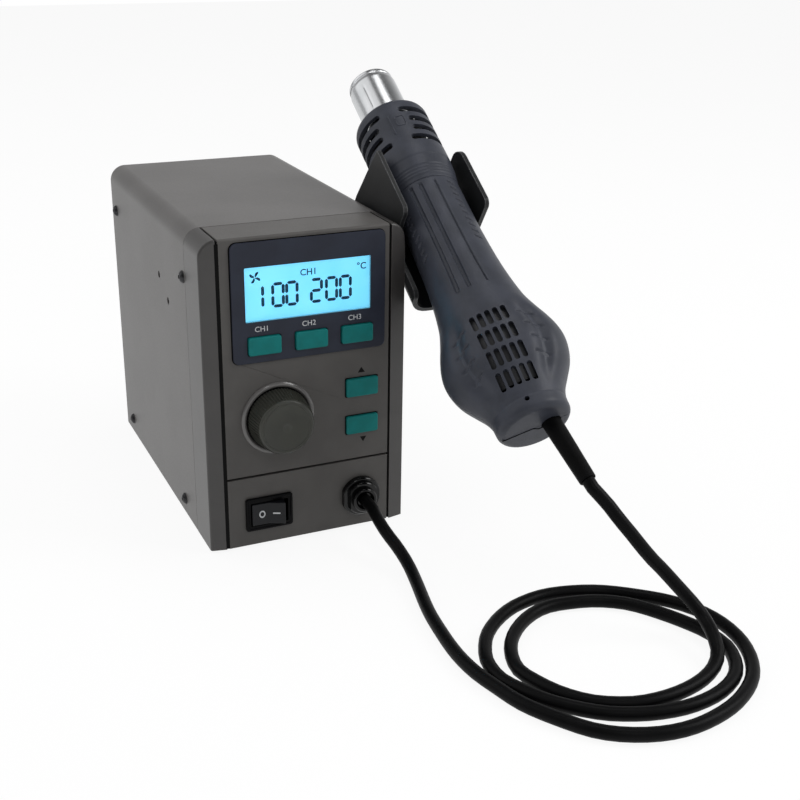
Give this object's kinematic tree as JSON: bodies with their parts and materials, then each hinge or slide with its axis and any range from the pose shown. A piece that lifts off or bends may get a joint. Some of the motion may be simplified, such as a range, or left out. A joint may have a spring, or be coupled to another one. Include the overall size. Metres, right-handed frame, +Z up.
{
  "type": "hot air rework station",
  "caption": "Box with display, buttons, knob and rocker switch, and a corded hot air handle lying in a bent cradle on the right side of the case.",
  "frame": {"origin": "centre of the base of the bounding box, without the cord, at the underside of the feet", "axes": "X to the right seen from the front, Y to the back, Z up"},
  "size_m": [0.1856, 0.3759, 0.208],
  "materials": {
    "case_paint": "satin warm grey paint on bent sheet steel",
    "front_plastic": "fine matt warm grey moulded plastic",
    "zinc_sheet": "zinc plated sheet",
    "bezel_plastic": "satin dark blue moulded plastic",
    "clear_window": "clear window",
    "display_glass": "lit liquid crystal glass, light blue",
    "circuit_board": "green solder mask",
    "encoder_metal": "plain metal",
    "knob_plastic": "knurled dark plastic",
    "button_plastic": "matt teal silicone",
    "switch_plastic": "satin black plastic",
    "gland_nylon": "glossy black nylon",
    "core_steel": "laminated steel",
    "winding_tape": "yellow winding tape",
    "sink_metal": "extruded aluminium",
    "chip_resin": "black moulding resin",
    "capacitor_sleeve": "dark blue sleeve",
    "inlet_plastic": "matt black plastic",
    "fuse_glass": "glass tube with metal caps",
    "foot_rubber": "black rubber",
    "screw_steel": "black oxide steel",
    "holder_paint": "dark charcoal paint on bent sheet",
    "handle_plastic": "fine textured dark blue grey nylon",
    "tube_steel": "polished stainless steel",
    "core_ceramic": "white ceramic",
    "mica": "amber mica",
    "blower_plastic": "black moulded plastic",
    "impeller_plastic": "white moulded plastic",
    "boot_rubber": "black soft rubber",
    "cord_rubber": "matt black cord sheath"
  },
  "bodies": {
    "station": {"case_cover": "case_paint", "front_frame": "front_plastic", "control_panel": "front_plastic", "lower_panel": "front_plastic", "chassis_tray": "zinc_sheet", "display_bezel": "bezel_plastic", "display_lens": "clear_window", "lcd_panel": "display_glass", "control_board": "circuit_board", "main_board": "circuit_board", "encoder_body": "encoder_metal", "switch_housing": "switch_plastic", "cable_gland": "gland_nylon", "gland_nut": "gland_nylon", "transformer_core": "core_steel", "transformer_winding": "winding_tape", "heat_sink": "sink_metal", "triac": "chip_resin", "filter_capacitor": "capacitor_sleeve", "power_inlet": "inlet_plastic", "foot_1": "foot_rubber", "foot_2": "foot_rubber", "foot_3": "foot_rubber", "foot_4": "foot_rubber", "case_screw_1": "screw_steel", "case_screw_2": "screw_steel", "case_screw_3": "screw_steel", "case_screw_4": "screw_steel", "case_screw_5": "screw_steel", "case_screw_6": "screw_steel", "case_screw_7": "screw_steel", "case_screw_8": "screw_steel", "holder_screw_1": "screw_steel", "holder_screw_2": "screw_steel", "gun_holder": "holder_paint", "handle_cord": "cord_rubber"},
    "handle": {"handle_front_shell": "handle_plastic", "handle_rear_shell": "handle_plastic", "nose_guard": "handle_plastic", "heater_tube": "tube_steel", "heater_core": "core_ceramic", "mica_sleeve": "mica", "blower_housing": "blower_plastic", "handle_board": "circuit_board", "handle_boot": "boot_rubber", "shell_screw_1": "screw_steel", "shell_screw_2": "screw_steel"},
    "impeller": {"blower_impeller": "impeller_plastic"},
    "knob_set": {"knob": "knob_plastic", "encoder_shaft": "encoder_metal"},
    "rocker_body": {"rocker": "switch_plastic"},
    "drawer": {"fuse_drawer": "inlet_plastic", "fuse": "fuse_glass"},
    "channel_button_1_body": {"channel_button_1": "button_plastic"},
    "channel_button_2_body": {"channel_button_2": "button_plastic"},
    "channel_button_3_body": {"channel_button_3": "button_plastic"},
    "up_button_body": {"up_button": "button_plastic"},
    "down_button_body": {"down_button": "button_plastic"}
  },
  "joints": [
    {"name": "channel_button_1_press", "type": "slide", "parent": "station", "child": "channel_button_1_body", "axis": [0, 1, 0], "range_m": [0, 0.0008], "stiffness_N_per_m": 2500},
    {"name": "channel_button_2_press", "type": "slide", "parent": "station", "child": "channel_button_2_body", "axis": [0, 1, 0], "range_m": [0, 0.0008], "stiffness_N_per_m": 2500},
    {"name": "channel_button_3_press", "type": "slide", "parent": "station", "child": "channel_button_3_body", "axis": [0, 1, 0], "range_m": [0, 0.0008], "stiffness_N_per_m": 2500},
    {"name": "up_button_press", "type": "slide", "parent": "station", "child": "up_button_body", "axis": [0, 1, 0], "range_m": [0, 0.0008], "stiffness_N_per_m": 2500},
    {"name": "down_button_press", "type": "slide", "parent": "station", "child": "down_button_body", "axis": [0, 1, 0], "range_m": [0, 0.0008], "stiffness_N_per_m": 2500},
    {"name": "knob_turn", "type": "hinge", "parent": "station", "child": "knob_set", "pos_m": [-0.03895, -0.02848, 0.06455], "axis": [0, -1, 0], "continuous": true},
    {"name": "rocker_tilt", "type": "hinge", "parent": "station", "child": "rocker_body", "pos_m": [-0.0446, -0.02698, 0.0174], "axis": [0, 0, 1], "range_deg": [0, 24]},
    {"name": "drawer_pull", "type": "slide", "parent": "station", "child": "drawer", "axis": [0, 1, 0], "range_m": [0, 0.014]},
    {"name": "handle_lift", "type": "slide", "parent": "station", "child": "handle", "axis": [0, -0.5495, 0.8355], "range_m": [0, 0.07]},
    {"name": "impeller_spin", "type": "hinge", "parent": "handle", "child": "impeller", "pos_m": [0.04745, -0.08315, 0.09954], "axis": [-0.4384, -0.4939, 0.751], "continuous": true}
  ]
}
